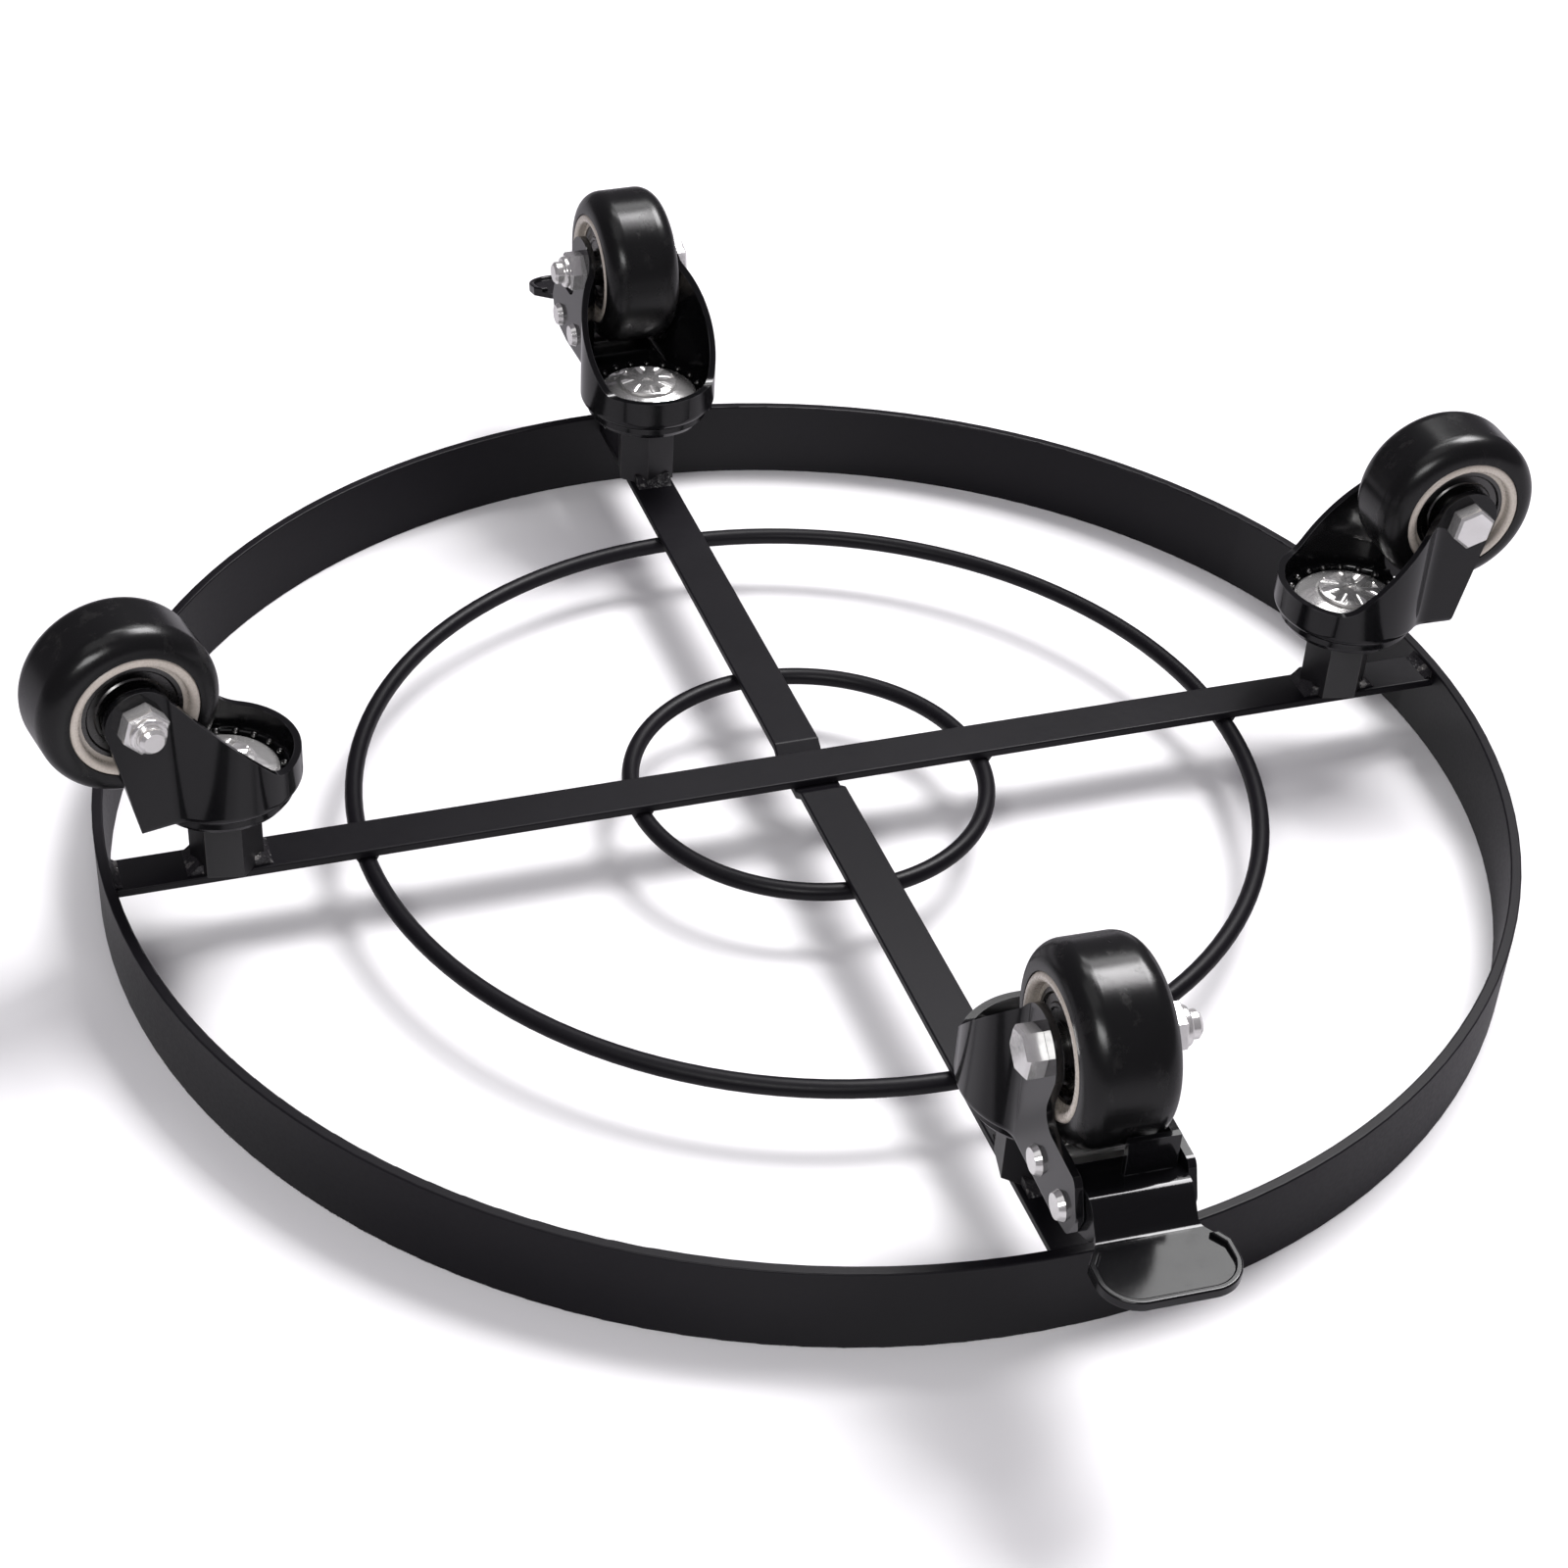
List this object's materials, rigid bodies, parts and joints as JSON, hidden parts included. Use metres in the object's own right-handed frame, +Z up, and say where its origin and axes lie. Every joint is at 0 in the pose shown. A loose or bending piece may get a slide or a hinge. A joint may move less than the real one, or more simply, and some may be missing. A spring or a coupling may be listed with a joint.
{
  "type": "drum dolly",
  "caption": "Round strap-ring dolly with crossed flat bars and round-bar rings that carry a drum or pail, on small swivel casters, some with pedal brakes.",
  "frame": {"origin": "on the floor, under the middle of the ring and of the bounding box", "axes": "+Z up with the wheels down; +X along the straight cross bar; +Y along the joggled cross bar, which carries the two braked casters"},
  "size_m": [0.4304, 0.4973, 0.108],
  "materials": {
    "frame_paint": "satin black paint",
    "weld": "painted weld bead",
    "black_nut": "black, slightly rough",
    "caster_black": "glossy black coating",
    "zinc": "bright zinc plate",
    "bearing_steel": "ground steel",
    "spring_steel": "dark spring steel",
    "hub_plastic": "matte beige-grey",
    "tyre": "satin black elastomer"
  },
  "bodies": {
    "frame": {"bar_end_welds": "weld", "cross_bar_joggled": "frame_paint", "cross_bar_straight": "frame_paint", "nut_welds": "weld", "ring": "frame_paint", "stem_nuts": "black_nut", "wire_ring_large": "frame_paint", "wire_ring_small": "frame_paint", "wire_welds": "weld", "stem_right": "zinc", "race_cup_right": "caster_black", "race_washer_right": "zinc", "stem_rear": "zinc", "race_cup_rear": "caster_black", "race_washer_rear": "zinc", "stem_left": "zinc", "race_cup_left": "caster_black", "race_washer_left": "zinc", "stem_front": "zinc", "race_cup_front": "caster_black", "race_washer_front": "zinc"},
    "swivel_right": {"fork_right": "caster_black", "race_balls_right": "bearing_steel", "axle_bolt_right": "zinc", "axle_nut_right": "zinc", "axle_sleeve_right": "bearing_steel"},
    "wheel_right": {"tyre_right": "tyre", "hub_right": "hub_plastic", "bearings_right": "bearing_steel"},
    "swivel_rear": {"fork_rear": "caster_black", "race_balls_rear": "bearing_steel", "axle_bolt_rear": "zinc", "axle_nut_rear": "zinc", "axle_sleeve_rear": "bearing_steel", "brake_rivets_rear": "zinc", "brake_spring_rear": "spring_steel"},
    "wheel_rear": {"tyre_rear": "tyre", "hub_rear": "hub_plastic", "bearings_rear": "bearing_steel"},
    "pedal_rear": {"brake_pedal_rear": "caster_black"},
    "swivel_left": {"fork_left": "caster_black", "race_balls_left": "bearing_steel", "axle_bolt_left": "zinc", "axle_nut_left": "zinc", "axle_sleeve_left": "bearing_steel"},
    "wheel_left": {"tyre_left": "tyre", "hub_left": "hub_plastic", "bearings_left": "bearing_steel"},
    "swivel_front": {"fork_front": "caster_black", "race_balls_front": "bearing_steel", "axle_bolt_front": "zinc", "axle_nut_front": "zinc", "axle_sleeve_front": "bearing_steel", "brake_rivets_front": "zinc", "brake_spring_front": "spring_steel"},
    "wheel_front": {"tyre_front": "tyre", "hub_front": "hub_plastic", "bearings_front": "bearing_steel"},
    "pedal_front": {"brake_pedal_front": "caster_black"}
  },
  "joints": [
    {"name": "swivel_right", "type": "hinge", "parent": "frame", "child": "swivel_right", "pos_m": [0.166, 0, 0.0586], "axis": [0, 0, 1], "continuous": true},
    {"name": "wheel_right", "type": "hinge", "parent": "swivel_right", "child": "wheel_right", "pos_m": [0.19042, -0.00537, 0.024], "axis": [0.2147, 0.9767, 0], "continuous": true},
    {"name": "swivel_rear", "type": "hinge", "parent": "frame", "child": "swivel_rear", "pos_m": [0, 0.166, 0.0586], "axis": [0, 0, 1], "continuous": true},
    {"name": "wheel_rear", "type": "hinge", "parent": "swivel_rear", "child": "wheel_rear", "pos_m": [0.00105, 0.19098, 0.024], "axis": [-0.9991, 0.0419, 0], "continuous": true},
    {"name": "brake_rear", "type": "hinge", "parent": "swivel_rear", "child": "pedal_rear", "pos_m": [0.00197, 0.21296, 0.0512], "axis": [-0.9991, 0.0419, 0], "range_deg": [0, 14]},
    {"name": "swivel_left", "type": "hinge", "parent": "frame", "child": "swivel_left", "pos_m": [-0.166, 0, 0.0586], "axis": [0, 0, 1], "continuous": true},
    {"name": "wheel_left", "type": "hinge", "parent": "swivel_left", "child": "wheel_left", "pos_m": [-0.19098, -0.00087, 0.024], "axis": [0.0349, -0.9994, 0], "continuous": true},
    {"name": "swivel_front", "type": "hinge", "parent": "frame", "child": "swivel_front", "pos_m": [0, -0.166, 0.0586], "axis": [0, 0, 1], "continuous": true},
    {"name": "wheel_front", "type": "hinge", "parent": "swivel_front", "child": "wheel_front", "pos_m": [0.00092, -0.19098, 0.024], "axis": [0.9993, 0.0366, 0], "continuous": true},
    {"name": "brake_front", "type": "hinge", "parent": "swivel_front", "child": "pedal_front", "pos_m": [0.00172, -0.21297, 0.0512], "axis": [0.9993, 0.0366, 0], "range_deg": [-14, 0]}
  ]
}
